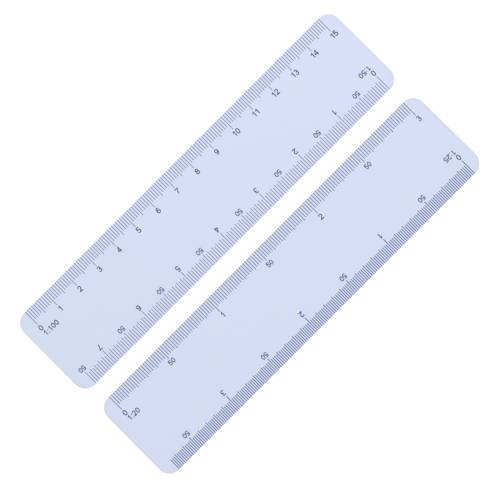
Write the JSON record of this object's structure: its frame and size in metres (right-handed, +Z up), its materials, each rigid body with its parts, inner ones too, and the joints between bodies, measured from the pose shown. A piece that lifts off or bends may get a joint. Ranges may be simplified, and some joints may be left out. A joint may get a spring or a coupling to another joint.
{
  "type": "parallel scale rulers",
  "caption": "Pair of flat white plastic scale rulers with rounded corners, lying parallel, each graduated along both long edges for reading scaled plans.",
  "frame": {"origin": "on the surface the rulers lie on, under the middle of the pair", "axes": "+X along the rulers, towards the higher numbers of the 1:100 and 1:20 scales; +Y across them, from ruler B to ruler A; +Z up, out of the printed faces"},
  "size_m": [0.161, 0.0798, 0.001],
  "materials": {
    "white_plastic": "satin, faintly blue white",
    "blue_black_ink": "printed film of ink"
  },
  "bodies": {
    "ruler_a": {"ruler_a_blade": "white_plastic", "ruler_a_1_100_graduations": "blue_black_ink", "ruler_a_1_100_numerals": "blue_black_ink", "ruler_a_1_100_ratio_label": "blue_black_ink", "ruler_a_1_50_graduations": "blue_black_ink", "ruler_a_1_50_numerals": "blue_black_ink", "ruler_a_1_50_ratio_label": "blue_black_ink"},
    "ruler_b": {"ruler_b_blade": "white_plastic", "ruler_b_1_20_graduations": "blue_black_ink", "ruler_b_1_20_numerals": "blue_black_ink", "ruler_b_1_20_ratio_label": "blue_black_ink", "ruler_b_1_25_graduations": "blue_black_ink", "ruler_b_1_25_numerals": "blue_black_ink", "ruler_b_1_25_ratio_label": "blue_black_ink"}
  },
  "joints": [
    {"name": "rulers_apart", "type": "slide", "parent": "ruler_a", "child": "ruler_b", "axis": [0, -1, 0], "range_m": [-0.0064, 0.13]}
  ]
}
